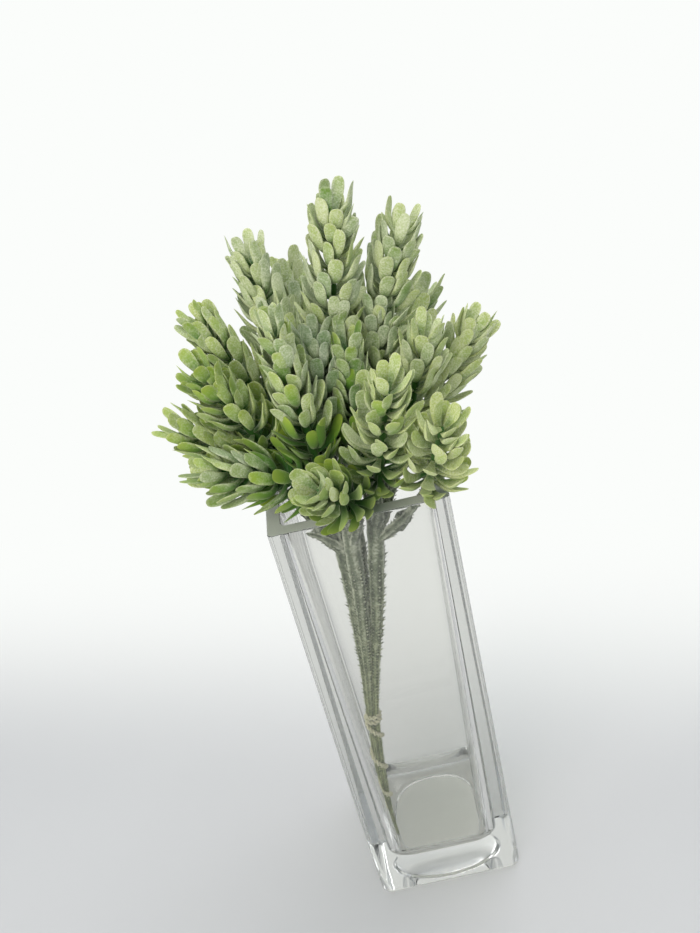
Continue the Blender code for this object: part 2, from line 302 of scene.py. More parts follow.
def ground_glass():
    """The rim, ground flat on a wheel and not polished after: a satin band that hides what is under it. Its
    grey is painted shade, standing in for the grey of the light gathered inside the thick wall."""
    finish, tree, out = new_material("ground_glass_rim_with_painted_shade")
    place = add(tree, "ShaderNodeTexCoord").outputs["Object"]
    grit = add(tree, "ShaderNodeTexNoise", Vector=place, Scale=per_mm(0.4), Detail=2.0).outputs[0]
    # Painted grey shade, speckled by the grit.
    shades = add(
        tree,
        "ShaderNodeMix",
        {"data_type": "RGBA"},
        i0=grit,
        i6=linear("b8bbb7"),
        i7=linear("d6d8d4"),
    )
    bump = add(tree, "ShaderNodeBump", Strength=0.3, Distance=0.03 * MM, Height=grit)
    shader = add(
        tree,
        "ShaderNodeBsdfPrincipled",
        Base_Color=shades.outputs[2],
        Roughness=0.42,
        IOR=GLASS_IOR,
        Normal=bump.outputs[0],
    )
    tree.links.new(shader.outputs[0], out.inputs["Surface"])
    return finish


points, faces = skin(vase_rings(), (0.0, 0.0, PUNT_STEP + PUNT_DEPTH), (0.0, 0.0, FLOOR))
vase = piece("square_glass_vase", points, faces, pressed_glass(), "vase")
vase.data.materials.append(ground_glass())
for face in vase.data.polygons:
    # Only the flat top of the rim was ground; its eased edges are clear.
    if face.center.z > (VASE_TOP - 0.02) * MM:
        face.material_index = 1

# ---------------------------------------------------------------------------
# The stems: five straps of soft polyethylene moulded over wire, cut off square.
# Small teeth run up their edges, and each forks near the top into branches
# that end under a head of leaves. Flock sprayed on them leaves them greyish.
# ---------------------------------------------------------------------------

# Bearing of each stem round the bundle, in degrees.
STEM_BEARINGS = {"left": 170.0, "front": 242.0, "right_front": 314.0, "right": 26.0, "back": 98.0}
# Height, centre of the bundle, radius of the ring of stems, thickness of one stem.
BUNDLE = (
    (18.0, (-19.6, -12.0), 1.25, 1.1),
    (41.0, (-19.0, -13.0), 1.30, 1.1),
    (68.0, (-17.0, -13.6), 1.40, 1.2),
    (95.0, (-14.4, -14.0), 1.55, 1.45),
    (122.0, (-10.0, -13.4), 2.5, 2.0),
    (150.0, (-5.4, -12.4), 4.6, 2.9),
    (178.0, (-1.9, -11.0), 6.9, 3.6),
    (190.0, (-0.2, -10.2), 7.7, 3.5),
)
# How high each stem runs before it forks.
STEM_TOPS = {"left": 178.0, "front": 187.0, "right_front": 187.0, "right": 188.0, "back": 188.0}
# Pointed bracts left where a branch forks: the stem that bears each, and its route.
BRACTS = (
    ("left", ((-8.8, -10.4, 174.5), (-11.5, -10.8, 178.5), (-15.5, -10.4, 181.4), (-19.8, -9.6, 182.6))),
    ("right_front", ((12.0, -16.6, 182.0), (16.4, -17.2, 186.4), (16.4, -17.6, 189.6), (11.2, -17.8, 188.2))),
)
# The stem that bears each head, the head's foot and its tip.
HEADS = (
    ("back", (0, 5, 225), (16, 4, 297)),
    ("right", (8, 7, 219), (37, 12, 283)),
    ("back", (-11, 14, 217), (-17, 28, 280)),
    ("back", (-8, 25, 210), (-5, 54, 260)),
    ("right", (18, 22, 206), (43, 44, 243)),
    ("left", (-17, 5, 215), (-39, 11, 267)),
    ("left", (-22, -6, 211), (-39, -14, 261)),
    ("left", (-26, -10, 207), (-52, -11, 243)),
    ("front", (-13, -21, 211), (-48, -31, 234)),
    ("front", (-9, -15, 210), (-11, -23, 275)),
    ("right_front", (3, -9, 206), (10, -9, 257)),
    ("right_front", (9, -21, 207), (20, -36, 254)),
    ("right_front", (20, -5, 208), (36, -8, 254)),
    ("right", (25, 7, 206), (56, 7, 244)),
    ("right_front", (24.3, -23.5, 202.9), (33, -43.3, 240.5)),
    ("front", (0, -25, 202), (-12, -51, 231)),
    ("front", (-4, -6, 211), (0, -7, 262)),
    ("right", (12, 4, 209), (22, 5, 259)),
)
# A stem starts 1 to 3 mm above the glass at the foot of the wall and is eased into one smooth curve.
STEM_FOOT = 19.0
STEM_STATIONS = 107
STEM_EASING = 14
# The first branch starts this far below the end of its stem and each further one a step lower. It
# leaves more sideways with each step, and ends a little way up inside its head.
FORK_SINK = 2.4
FORK_STEP = 2.2
FORK_SPREAD = 0.55
BRANCH_STATIONS = 26
BRANCH_FOOT = 1.35
BRANCH_TOP = 1.05
BRANCH_INSIDE = 1.5
STRAP_SIDES = 16
# How uneven a strap's outline is: the main stem, and the branches and bracts.
STEM_KNOBS = 1.0
BRANCH_KNOBS = 2.4
TOOTH_STEP = 1.8
# Rows of teeth: the bearing of each round the strap in degrees, and its share of a full tooth.
STEM_ROWS = ((0, 1.0), (180, 1.0), (-62, 0.9), (-122, 0.55), (90, 0.7))
BRANCH_ROWS = ((0, 0.8), (180, 0.8), (-90, 0.5))
TOOTH = 1.35
# The rows start this far up a stem or a branch and stop at this share of it.
STEM_ROWS_FROM = 26.0
BRANCH_ROWS_FROM = 3.0
ROWS_TO = 0.9


def unit(v):
    """A vector made 1 long."""
    return v / np.linalg.norm(v)


def bundle_at(z):
    """Centre, ring radius and stem thickness of the bundle at a height."""
    heights = [row[0] for row in BUNDLE]
    centre = [np.interp(z, heights, [row[1][i] for row in BUNDLE]) for i in (0, 1)]
    ring = np.interp(z, heights, [row[2] for row in BUNDLE])
    thickness = np.interp(z, heights, [row[3] for row in BUNDLE])
    return np.array((*centre, z)), ring, thickness


def eased(line, rounds):
    """A polyline with its corners worn round; its ends stay."""
    line = np.array(line, float)
    for _ in range(rounds):
        line[1:-1] = line[1:-1] * 0.5 + (line[:-2] + line[2:]) * 0.25
    return line


def stem_line(stem):
    """The middle of one stem from its cut end to its fork, and its radius along it."""
    angle = math.radians(STEM_BEARINGS[stem])
    line, radii = [], []
    for z in np.linspace(STEM_FOOT, STEM_TOPS[stem], STEM_STATIONS):
        centre, ring, thickness = bundle_at(z)
        line.append(centre + ring * np.array((math.cos(angle), math.sin(angle), 0.0)))
        radii.append(thickness / 2)
    radii = eased(np.array(radii)[:, None], STEM_EASING)[:, 0]
    return eased(line, STEM_EASING), radii


def bezier(a, b, c, d, steps):
    """Points along a cubic curve from a to d."""
    t = np.linspace(0, 1, steps)[:, None]
    return a * (1 - t) ** 3 + 3 * b * t * (1 - t) ** 2 + 3 * c * t * t * (1 - t) + d * t**3


def branch_line(number):
    """From inside its stem to just inside the foot of a head."""
    stem, foot, tip = HEADS[number]
    order = sum(other[0] == stem for other in HEADS[:number])
    line, _ = stem_line(stem)
    rise = unit(line[-1] - line[-4])
    foot, tip = np.array(foot, float), np.array(tip, float)
    axis = unit(tip - foot)
    end = foot + axis * BRANCH_INSIDE
    start = line[-1] - rise * (FORK_SINK + FORK_STEP * order)
    reach = np.linalg.norm(end - start)
    outward = (end - start) * (1.0, 1.0, 0.25)
    away = unit(rise + unit(outward) * FORK_SPREAD * order)
    return bezier(start, start + away * reach * 0.38, end - axis * reach * 0.35, end, BRANCH_STATIONS)


def strap(line, wide, thick, across, rng, knobs):
    """A closed ribbed strap along a line: its rings, and for each point its flock and painted light, pale on
    the ribs and edges and painted shade down the grooves.
    """
    rings, flock_and_painted_light = [], []
    first = np.array(across, float)
    wander = [rng.uniform(0, 6.28) for _ in range(3)]
    for i, point in enumerate(line):
        along = unit(line[min(i + 1, len(line) - 1)] - line[max(i - 1, 0)])
        first = unit(first - along * first.dot(along))
        second = np.cross(along, first)
        ring = []
        for k in range(STRAP_SIDES):
            a = 2 * math.pi * k / STRAP_SIDES
            rib = math.cos(4 * a + 0.6 * math.sin(i * 0.21 + wander[0]))
            knob = 0.05 * math.sin(i * 0.73 + wander[1] + 2 * a) + 0.04 * math.sin(i * 1.9 + wander[2] - a)
            grow = 1 + 0.09 * rib + knobs * knob
            ring.append(point + grow * (first * wide[i] * math.cos(a) + second * thick[i] * math.sin(a)))
            # Pale on the ribs and the edges, as flock and painted highlight; darker down the grooves as
            # painted shade.
            flock_and_painted_light.append(0.25 + 0.25 * rib + 0.35 * abs(math.cos(a)) ** 5)
        rings.append(ring)
    return rings, flock_and_painted_light


def teeth(line, wide, thick, across, rng, low, rows):
    """Small upswept thorns in rows up a strap, each a closed four-sided spike rooted in it."""
    points, faces, flock_and_painted_light = [], [], []
    run = np.concatenate([[0], np.cumsum(np.linalg.norm(np.diff(line, axis=0), axis=1))])
    first = np.array(across, float)
    for bearing, scale in rows:
        turn = math.radians(bearing)
        s = low + rng.uniform(0, TOOTH_STEP)
        while s < ROWS_TO * run[-1]:
            i = min(int(np.searchsorted(run, s)), len(line) - 2)
            along = unit(line[i + 1] - line[i])
            side = unit(first - along * first.dot(along))
            back = np.cross(along, side)
            out = unit(side * math.cos(turn) * thick[i] + back * math.sin(turn) * wide[i])
            face = np.cross(along, out)
            size = TOOTH * scale * rng.uniform(0.55, 1.2) * min(1.0, 0.15 + 0.5 * wide[i])
            spread = rng.uniform(-0.5, 0.5)
            root = line[i] + 1.02 * (side * math.cos(turn) * wide[i] + back * math.sin(turn) * thick[i])
            tip = root + size * (out * 0.9 + along * 0.8 + face * spread)
            n = len(points)
            points += [root - along * size * 0.5, root + face * size * 0.42]
            points += [root + along * size * 0.4, root - face * size * 0.42, tip]
            faces += [(n, n + 3, n + 2, n + 1), (n, n + 1, n + 4), (n + 1, n + 2, n + 4)]
            faces += [(n + 2, n + 3, n + 4), (n + 3, n, n + 4)]
            # Teeth on the face of a strap are paler than those on its edges: flock, and a painted highlight
            # where they catch the light.
            flock_and_painted_light += [1.4 - 0.95 * abs(math.cos(turn)) ** 3] * 5
            s += TOOTH_STEP * rng.uniform(0.55, 1.45)
    return points, faces, flock_and_painted_light


def flocked_stem():
    """Grey-green polyethylene under a thin coat of pale flock: matt and slightly furry, paler along
    the ribs, edges and teeth where the flock caught and as painted highlight, darker green down the grooves
    as painted shade."""
    finish, tree, out = new_material("flocked_polyethylene_stem")
    place = add(tree, "ShaderNodeTexCoord").outputs["Object"]
    # Flock and painted light per point: pale ribs, edges and teeth, painted shade down the grooves.
    flock_and_painted_light = add(tree, "ShaderNodeAttribute", {"attribute_name": "flock_and_painted_light"}).outputs["Fac"]
    blotch = add(tree, "ShaderNodeTexNoise", Vector=place, Scale=per_mm(5.0), Detail=3.0).outputs[0]
    fur = add(tree, "ShaderNodeTexNoise", Vector=place, Scale=per_mm(0.9), Detail=3.0).outputs[0]
    cover = -0.6
    for value, share in ((blotch, 1.0), (flock_and_painted_light, 0.85), (fur, 0.9)):
        cover = add(tree, "ShaderNodeMath", {"operation": "MULTIPLY_ADD"}, i0=value, i1=share, i2=cover)
        cover = cover.outputs[0]
    shades = add(tree, "ShaderNodeValToRGB", i0=cover)
    ramp = shades.color_ramp
    ramp.elements[0].position, ramp.elements[0].color = 0.3, linear("434d38")
    ramp.elements[1].position, ramp.elements[1].color = 1.0, linear("c6cab9")
    ramp.elements.new(0.62).color = linear("78816c")
    # The stems grow darker and greener towards their cut ends, down inside the vase.
    height = add(tree, "ShaderNodeSeparateXYZ", Vector=place).outputs[2]
    low = add(tree, "ShaderNodeMapRange", i0=height, i1=90.0 * MM, i2=175.0 * MM, i3=1.0, i4=0.0)
    colour = add(
        tree,
        "ShaderNodeMix",
        {"data_type": "RGBA", "blend_type": "MULTIPLY"},
        i0=low.outputs[0],
        i6=shades.outputs[0],
        i7=linear("dfe4bd"),
    )
    bump = add(tree, "ShaderNodeBump", Strength=0.6, Distance=0.15 * MM, Height=fur)
    shader = add(
        tree,
        "ShaderNodeBsdfPrincipled",
        Base_Color=colour.outputs[2],
        Roughness=0.85,
        IOR=1.5,
        Sheen_Weight=0.25,
        Sheen_Roughness=0.5,
        Normal=bump.outputs[0],
    )
    tree.links.new(shader.outputs[0], out.inputs["Surface"])
    return finish


def paint(made, name, values):
    """Keeps one number per point of a mesh for its material to read."""
    layer = made.data.attributes.new(name, "FLOAT", "POINT")
    full = np.full(len(made.data.vertices), 0.5, np.float32)
    full[: len(values)] = values
    layer.data.foreach_set("value", full)


def stem_parts(stem, bearing):
    """The straps that make up one stem: itself, then its branches, then its bracts. Each has its line,
    half widths, half thicknesses, flat side and unevenness."""
    angle = math.radians(bearing)
    line, radii = stem_line(stem)
    across = (1.0, 0.35 * math.cos(angle) * math.sin(angle), 0.0)
    flat = 1.15 + 0.35 * smooth_step((line[:, 2] - 90) / 50)
    parts = [(line, radii * flat, radii * 0.66, across, STEM_KNOBS)]
    for number, head in enumerate(HEADS):
        if head[0] == stem:
            path = branch_line(number)
            share = np.linspace(0, 1, len(path))
            wide = BRANCH_FOOT + (BRANCH_TOP - BRANCH_FOOT) * share
            # A branch starts thin inside the stem, spreads to a web and thins again above it.
            web = 0.7 + 0.75 * smooth_step(share / 0.22) * (1 - 0.6 * smooth_step((share - 0.22) / 0.4))
            thick = wide * (0.5 + 0.4 * smooth_step(share / 0.25))
            parts.append((path, wide * web, thick, across, BRANCH_KNOBS))
    for bearer, route in BRACTS:
        if bearer == stem:
            path = bezier(*(np.array(point) for point in route), BRANCH_STATIONS)
            taper = np.sqrt(np.sin(np.linspace(0.25, 1.0, BRANCH_STATIONS) * math.pi) + 0.003)
            parts.append((path, 2.1 * taper, 0.75 * taper, (0.2, -0.4, 1.0), BRANCH_KNOBS))
    return parts


def build_stem(stem, bearing, finish, rng):
    """One stem with its branches, and then the teeth on all of them."""
    points, faces, flock_and_painted_light = [], [], []
    tooth_points, tooth_faces, tooth_flock_and_painted_light = [], [], []
    for number, (path, wide, thick, across, knobs) in enumerate(stem_parts(stem, bearing)):
        rings, strap_flock_and_painted_light = strap(path, wide, thick, across, rng, knobs)
        foot = path[0] - unit(path[1] - path[0]) * 0.1
        top = path[-1] + unit(path[-1] - path[-2]) * 0.3
        found, found_faces = skin(rings, foot, top)
        offset = len(points)
        points += list(found)
        faces += [tuple(offset + i for i in face) for face in found_faces]
        flock_and_painted_light += strap_flock_and_painted_light + [0.4, 0.4]
        rows = BRANCH_ROWS if number else STEM_ROWS
        low = BRANCH_ROWS_FROM if number else STEM_ROWS_FROM
        found, found_faces, found_flock_and_painted_light = teeth(path, wide, thick, across, rng, low, rows)
        offset = len(tooth_points)
        tooth_points += found
        tooth_faces += [tuple(offset + i for i in face) for face in found_faces]
        tooth_flock_and_painted_light += found_flock_and_painted_light
    offset = len(points)
    faces += [tuple(offset + i for i in face) for face in tooth_faces]
    made = piece(
        f"toothed_stem_{stem}",
        points + tooth_points,
        faces,
        finish,
        f"stem_{stem}",
    )
    paint(made, "flock_and_painted_light", flock_and_painted_light + tooth_flock_and_painted_light)


stem_finish = flocked_stem()
rng = random.Random(11)
for stem, bearing in STEM_BEARINGS.items():
    build_stem(stem, bearing, stem_finish, rng)

# ---------------------------------------------------------------------------
# The leafy heads: whorls of seven fleshy paddle leaves moulded in soft green
# polyethylene, pushed over the branches. Pale powder was sprayed on from
# above, so the low leaves and many tips still show their own green.
# ---------------------------------------------------------------------------

WHORL = 7
WHORL_STEP = 4.1
# The leaves at the very tip, and how far they reach past the last whorl.
TIP_LEAVES = 4
TIP_REACH = 11.5
# Foot, middle and tip of a head: leaves in mm, leans at a leaf's own foot and tip in degrees.
LEAF_LENGTH = (15.2, 15.4, 12.0)
LEAF_WIDTH = (3.8, 4.5, 4.3)
LEAF_THICKNESS = (1.95, 1.75, 1.3)
BASE_LEAN = (88.0, 60.0, 40.0)
TIP_LEAN = (32.0, 18.0, 12.0)
# Radius of a head's core at its foot and its tip.
CORE = (1.8, 1.0)
CORE_SIDES = 10
LEAF_SIDES = 16
# Shares of a leaf's length up to its widest place, then angles in degrees round its tip.
LEAF_STATIONS = (0.0, 0.12, 0.25, 0.38, 0.5, 0.62, 0.75)
TIP_ANGLES = (14, 30, 45, 59, 72, 83)
# How much nearer to a neighbour's axis than to its own a leaf may come, and how far off the rim it keeps.
OVERLAP = 6.0
RIM_CLEAR = 0.8
# A crowded leaf stands up along its head, then stays short: share of its lean, share of its length.
CROWDING = ((1.0, 1.0), (0.78, 1.0), (0.6, 0.97), (0.45, 0.92), (0.3, 0.86), (0.2, 0.75), (0.15, 0.6))
# How thickly each head was sprayed, how much of the green at its foot stayed bare, how far its leaves
# spread, and how grey its powder is: its own tone, made greyer as painted shade on heads in the shaded middle
# of the bunch.
HEAD_LOOK = (
    (0.88, 0.5, 1.25, 0.5),
    (0.9, 0.5, 1.25, 0.5),
    (0.88, 0.3, 1.15, 0.6),
    (0.88, 0.4, 1.1, 0.6),
    (0.86, 0.4, 1.1, 0.25),
    (0.64, 0.4, 1.1, 0.25),
    (0.46, 0.5, 1.1, 0.15),
    (0.54, 0.8, 1.1, 0.2),
    (0.6, 0.9, 1.1, 0.5),
    (0.8, 1.5, 0.8, 0.45),
    (0.58, 1.1, 0.85, 0.55),
    (0.74, 0.5, 1.2, 0.25),
    (0.88, 0.3, 1.1, 0.35),
    (0.96, 0.2, 1.15, 0.3),
    (0.92, 0.2, 1.25, 0.0),
    (0.7, 1.0, 1.05, 0.15),
    (0.8, 0.8, 1.2, 0.95),
    (0.86, 0.5, 1.15, 0.75),
)


def three_way(values, share):
    """Foot, middle and tip values blended smoothly along a head."""
    foot, middle, tip = values
    return (
        foot * (1 - share) * (1 - 2 * share)
        + 4 * middle * share * (1 - share)
        + tip * share * (2 * share - 1)
    )


def leaf_profile():
    """Stations along a leaf, with its share of full width and of full thickness at each."""
    widest = LEAF_STATIONS[-1]
    stations, widths, depths = [], [], []
    for s in LEAF_STATIONS:
        stations.append(s)
        widths.append(0.3 + 0.7 * smooth_step(s / widest) ** 0.9)
    for degrees in TIP_ANGLES:
        a = math.radians(degrees)
        stations.append(widest + (1 - widest) * math.sin(a))
        widths.append(math.cos(a) ** 0.72)
    for s in stations:
        body = 1 - 0.62 * abs(s - 0.38) ** 1.4 / 0.62**1.4
        depths.append(body * (0.55 + 0.45 * smooth_step(s / 0.3)) * (1 - max(0.0, s - 0.5) ** 1.6 * 2.6))
    return np.array(stations), np.array(widths), np.array(depths)


STATIONS, WIDTHS, DEPTHS = leaf_profile()
TURNS = np.arange(LEAF_SIDES) * 2 * math.pi / LEAF_SIDES


def leaf_rings(base, out, axis, lean, length, width, thickness, roll, cup):
    """The rings of one leaf, from the core outwards, and its tip. It springs out, then turns up along
    the head."""
    first, last = math.radians(lean[0]), math.radians(lean[1])
    fine = np.linspace(0, 1, 41)
    bend = first + (last - first) * smooth_step(fine / 0.75)
    step = length / 40
    run_out = np.concatenate([[0], np.cumsum(np.sin((bend[1:] + bend[:-1]) / 2)) * step])
    run_up = np.concatenate([[0], np.cumsum(np.cos((bend[1:] + bend[:-1]) / 2)) * step])
    at = np.append(STATIONS, 1.0)
    rib_out, rib_up, angle = (np.interp(at, fine, values) for values in (run_out, run_up, bend))
    rib = base + rib_out[:, None] * out + rib_up[:, None] * axis
    inward = -np.cos(angle)[:, None] * out + np.sin(angle)[:, None] * axis
    side = np.cross(axis, out)
    turned = side * math.cos(roll) + inward * math.sin(roll)
    inward = inward * math.cos(roll) - side * math.sin(roll)
    x = np.cos(TURNS)[None, :] * WIDTHS[:, None] * width / 2
    bulge = np.sin(TURNS)[None, :]
    deep = np.where(bulge > 0, 0.4, 0.6) * np.sign(bulge) * np.abs(bulge) ** 0.8
    y = deep * DEPTHS[:, None] * thickness + cup * x**2 / width
    rings = rib[:-1, None] + x[..., None] * turned[:-1, None] + y[..., None] * inward[:-1, None]
    return rings, rib[-1]


def nearest(points, start, end):
    """Distance of each point from a head's axis."""
    along = end - start
    share = np.clip(((points - start) @ along) / along.dot(along), 0, 1)
    return np.linalg.norm(points - start - share[:, None] * along, axis=1)


def fits(points, own, others):
    """Whether a leaf comes no nearer to a neighbour's axis than is allowed, and keeps off the rim. Leaves
    of heads that stand close still cross."""
    near = nearest(points, *own)
    for other in others:
        if (nearest(points, *other) < near - OVERLAP).any():
            return False
    over_vase = (np.abs(points[:, :2]) < VASE_HALF + RIM_CLEAR).all(axis=1)
    return not (over_vase & (points[:, 2] < VASE_TOP + RIM_CLEAR)).any()


def powdered_leaf():
    """Soft green polyethylene under sprayed powder: deep green at the root and lime at the tip where
    it is bare, with a low satin gloss; pale grey-green, dry and slightly velvety where it is coated."""
    finish, tree, out = new_material("powder_frosted_polyethylene_leaf")
    place = add(tree, "ShaderNodeTexCoord").outputs["Object"]
    reach = add(tree, "ShaderNodeAttribute", {"attribute_name": "reach"}).outputs["Fac"]
    frost = add(tree, "ShaderNodeAttribute", {"attribute_name": "frost"}).outputs["Fac"]
    tint = add(tree, "ShaderNodeAttribute", {"attribute_name": "tint"}).outputs["Fac"]
    body = add(tree, "ShaderNodeValToRGB", i0=reach)
    ramp = body.color_ramp
    ramp.elements[0].position, ramp.elements[0].color = 0.25, linear("255818")
    ramp.elements[1].position, ramp.elements[1].color = 1.0, linear("a8bc44")
    ramp.elements.new(0.52).color = linear("5e8a24")
    ramp.elements.new(0.8).color = linear("8cab34")
    # Higher tint also deepens the green: per-leaf tone, and painted shade on the heads in the middle of the
    # bunch.
    greener = add(tree, "ShaderNodeMapRange", i0=tint, i1=0.25, i2=0.85, i3=0.0, i4=0.8)
    body = add(
        tree,
        "ShaderNodeMix",
        {"data_type": "RGBA"},
        i0=greener.outputs[0],
        i6=body.outputs[0],
        i7=linear("2c6a18"),
    )
    margin = add(tree, "ShaderNodeAttribute", {"attribute_name": "margin"}).outputs["Fac"]
    cloud = add(tree, "ShaderNodeTexNoise", Vector=place, Scale=per_mm(3.5), Detail=2.0).outputs[0]
    grain = add(tree, "ShaderNodeTexNoise", Vector=place, Scale=per_mm(0.55), Detail=2.0).outputs[0]
    # Powder from yellowish to grey by tint; the grey end is partly painted shade on the heads in the middle
    # of the bunch.
    grey = add(
        tree,
        "ShaderNodeMix",
        {"data_type": "RGBA"},
        i0=tint,
        i6=linear("ced889"),
        i7=linear("c0cbb0"),
    )
    speck = add(tree, "ShaderNodeMapRange", i0=grain, i1=0.4, i2=0.66, i3=0.0, i4=0.6)
    pale = add(
        tree,
        "ShaderNodeMix",
        {"data_type": "RGBA"},
        i0=speck.outputs[0],
        i6=grey.outputs[2],
        i7=linear("f2f4e2"),
    )
    # Powder: most where sprayed, less towards the tip, broken up by soft clouds and fine grain.
    bare = add(tree, "ShaderNodeMath", {"operation": "POWER"}, i0=reach, i1=3.0).outputs[0]
    cover = frost
    for value, share in ((bare, -0.32), (cloud, 0.8), (grain, 0.6), (margin, 0.45)):
        cover = add(tree, "ShaderNodeMath", {"operation": "MULTIPLY_ADD"}, i0=value, i1=share, i2=cover)
        cover = cover.outputs[0]
    facing = add(tree, "ShaderNodeSeparateXYZ", Vector=add(tree, "ShaderNodeNewGeometry").outputs["Normal"])
    under = add(tree, "ShaderNodeMapRange", i0=facing.outputs[2], i1=-0.8, i2=0.1, i3=-0.3, i4=0.0)
    cover = add(tree, "ShaderNodeMath", i0=cover, i1=under.outputs[0])
    root = add(tree, "ShaderNodeMapRange", i0=reach, i1=0.15, i2=0.6, i3=-0.55, i4=0.0)
    cover = add(tree, "ShaderNodeMath", i0=cover.outputs[0], i1=root.outputs[0])
    cover = add(tree, "ShaderNodeMapRange", i0=cover.outputs[0], i1=0.75, i2=1.6, i3=0.0, i4=0.95)
    colour = add(
        tree,
        "ShaderNodeMix",
        {"data_type": "RGBA"},
        i0=cover.outputs[0],
        i6=body.outputs[2],
        i7=pale.outputs[2],
    )
    rough = add(tree, "ShaderNodeMapRange", i0=cover.outputs[0], i1=0.0, i2=0.6, i3=0.45, i4=0.85)
    bump = add(tree, "ShaderNodeBump", Strength=0.6, Distance=0.12 * MM, Height=grain)
    shader = add(
        tree,
        "ShaderNodeBsdfPrincipled",
        Base_Color=colour.outputs[2],
        Roughness=rough.outputs[0],
        IOR=1.5,
        Sheen_Weight=0.45,
        Sheen_Roughness=0.5,
        Sheen_Tint=linear("e8efc8"),
        Normal=bump.outputs[0],
    )
    tree.links.new(shader.outputs[0], out.inputs["Surface"])
    return finish


def core_radius(share):
    """Radius of a head's core at this share of its height."""
    return CORE[0] + (CORE[1] - CORE[0]) * share


def build_head(number, finish, rng):
    """One head: a slim core, then its leaves whorl by whorl from the foot up."""
    _, foot, tip = HEADS[number]
    dust, bare, spread, grey_tone_and_painted_shade = HEAD_LOOK[number]
    foot, tip = np.array(foot, float), np.array(tip, float)
    length = np.linalg.norm(tip - foot)
    axis = (tip - foot) / length
    first = unit(np.cross(axis, (0.31, 0.94, 0.12)))
    second = np.cross(axis, first)
    own = (foot, tip)
    others = [(np.array(h[1], float), np.array(h[2], float)) for i, h in enumerate(HEADS) if i != number]
    leafy = length - TIP_REACH
    whorls = round(leafy / WHORL_STEP)
    step = leafy / whorls
    phase = rng.uniform(0, 2 * math.pi)
    points, faces = [], []
    reach, frost, tint, margin = [], [], [], []

    def place(found, poles, s, frosting, shade, edge):
        """Adds one closed skin with its numbers per point."""
        skin_points, skin_faces = skin(found, *poles)
        offset = len(points)
        points.extend(skin_points)
        faces.extend(tuple(offset + i for i in face) for face in skin_faces)
        reach.extend(s)
        frost.extend([frosting] * len(skin_points))
        tint.extend([shade] * len(skin_points))
        margin.extend(edge)

    core = []
    for k in range(2 * whorls + 1):
        share = k / (2 * whorls)
        radius = core_radius(share) * (1.0 if k % 2 else 0.9)
        turns = np.arange(CORE_SIDES) * math.pi / (CORE_SIDES / 2)
        ring = np.cos(turns)[:, None] * first + np.sin(turns)[:, None] * second
        core.append(foot + axis * leafy * share + ring * radius)
    count = CORE_SIDES * len(core) + 2
    poles = (foot - axis * 0.4, foot + axis * (leafy + 2.0))
    place(core, poles, [0.1] * count, 0.15, 0.5, [0.0] * count)

    for k in range(whorls + 1):
        share = k / whorls
        leaves = WHORL if k < whorls else TIP_LEAVES
        for i in range(leaves):
            turn = math.pi * 2 * (i + 0.5 * (k % 2)) / leaves + phase
            turn += math.radians(rng.uniform(-17, 17))
            out = first * math.cos(turn) + second * math.sin(turn)
            base = foot + axis * (k * step + rng.uniform(-1.1, 1.1)) + out * core_radius(share) * 0.5
            lean = (
                min(three_way(BASE_LEAN, share) * spread, 96) + rng.uniform(-10, 10),
                three_way(TIP_LEAN, share) * spread + rng.uniform(-12, 12),
            )
            size = 1 + rng.uniform(-0.12, 0.1)
            width = three_way(LEAF_WIDTH, share) * rng.uniform(0.86, 1.08)
            roll = math.radians(rng.gauss(0, 19))
            cup = rng.uniform(0.05, 0.3)
            # Less powder reached the foot of a head, and here and there it missed a whole leaf.
            low = 1 - smooth_step((k * step - 3.0) / (8.0 + 9.0 * bare))
            frosting = dust - 0.8 * bare * low + rng.gauss(0, 0.13)
            if rng.random() < 0.05 + 0.06 * bare + 0.2 * low:
                frosting -= 0.45 * min(bare, 0.8)
            shade = grey_tone_and_painted_shade + (rng.random() - 0.5) * 0.6
            for press, trim in CROWDING:
                rings, end = leaf_rings(
                    base,
                    out,
                    axis,
                    (lean[0] * press, lean[1] * press),
                    three_way(LEAF_LENGTH, share) * size * trim,
                    width * math.sqrt(trim),
                    three_way(LEAF_THICKNESS, share),
                    roll,
                    cup,
                )
                if fits(np.concatenate([rings[3:].reshape(-1, 3), [end]]), own, others):
                    break
            else:
                continue
            s = np.append(np.repeat(STATIONS, LEAF_SIDES), (0.0, 1.0))
            edge = np.abs(np.cos(TURNS))[None, :] ** 5 * np.ones((len(STATIONS), 1))
            edge = np.maximum(edge, np.clip((STATIONS[:, None] - 0.93) / 0.07, 0, 1))
            place(rings, (base - out * 0.2, end), s, frosting, shade, np.append(edge, (0.0, 1.0)))

    made = piece(
        f"leafy_head_{number + 1:02d}_frosted",
        points,
        faces,
        finish,
        f"leafy_head_{number + 1:02d}",
    )
    for name, values in (("reach", reach), ("frost", frost), ("tint", tint), ("margin", margin)):
        paint(made, name, values)


leaf_finish = powdered_leaf()
rng = random.Random(7)
for number in range(len(HEADS)):
    build_head(number, leaf_finish, rng)

# ---------------------------------------------------------------------------
# The thread: soft cream cotton of two plies, wound round the bundle by hand,
# with two close turns at the top and three wide ones below them.
# ---------------------------------------------------------------------------

# Height and turns made so far, and the bearing in degrees that it starts from.
THREAD_PATH = ((97.0, 0.0), (94.5, 1.0), (91.5, 2.0), (73.0, 3.0), (54.0, 4.0), (38.0, 5.0))
THREAD_FROM = 200
THREAD_STATIONS = 420
THREAD = 1.9
# As shares of the thread: how far it stands off the stems, and each ply's offset and radius.
THREAD_OFF = 0.22
PLY_OFF = 0.23
PLY_RADIUS = 0.27
PLY_PITCH = 3.2
PLY_SIDES = 8


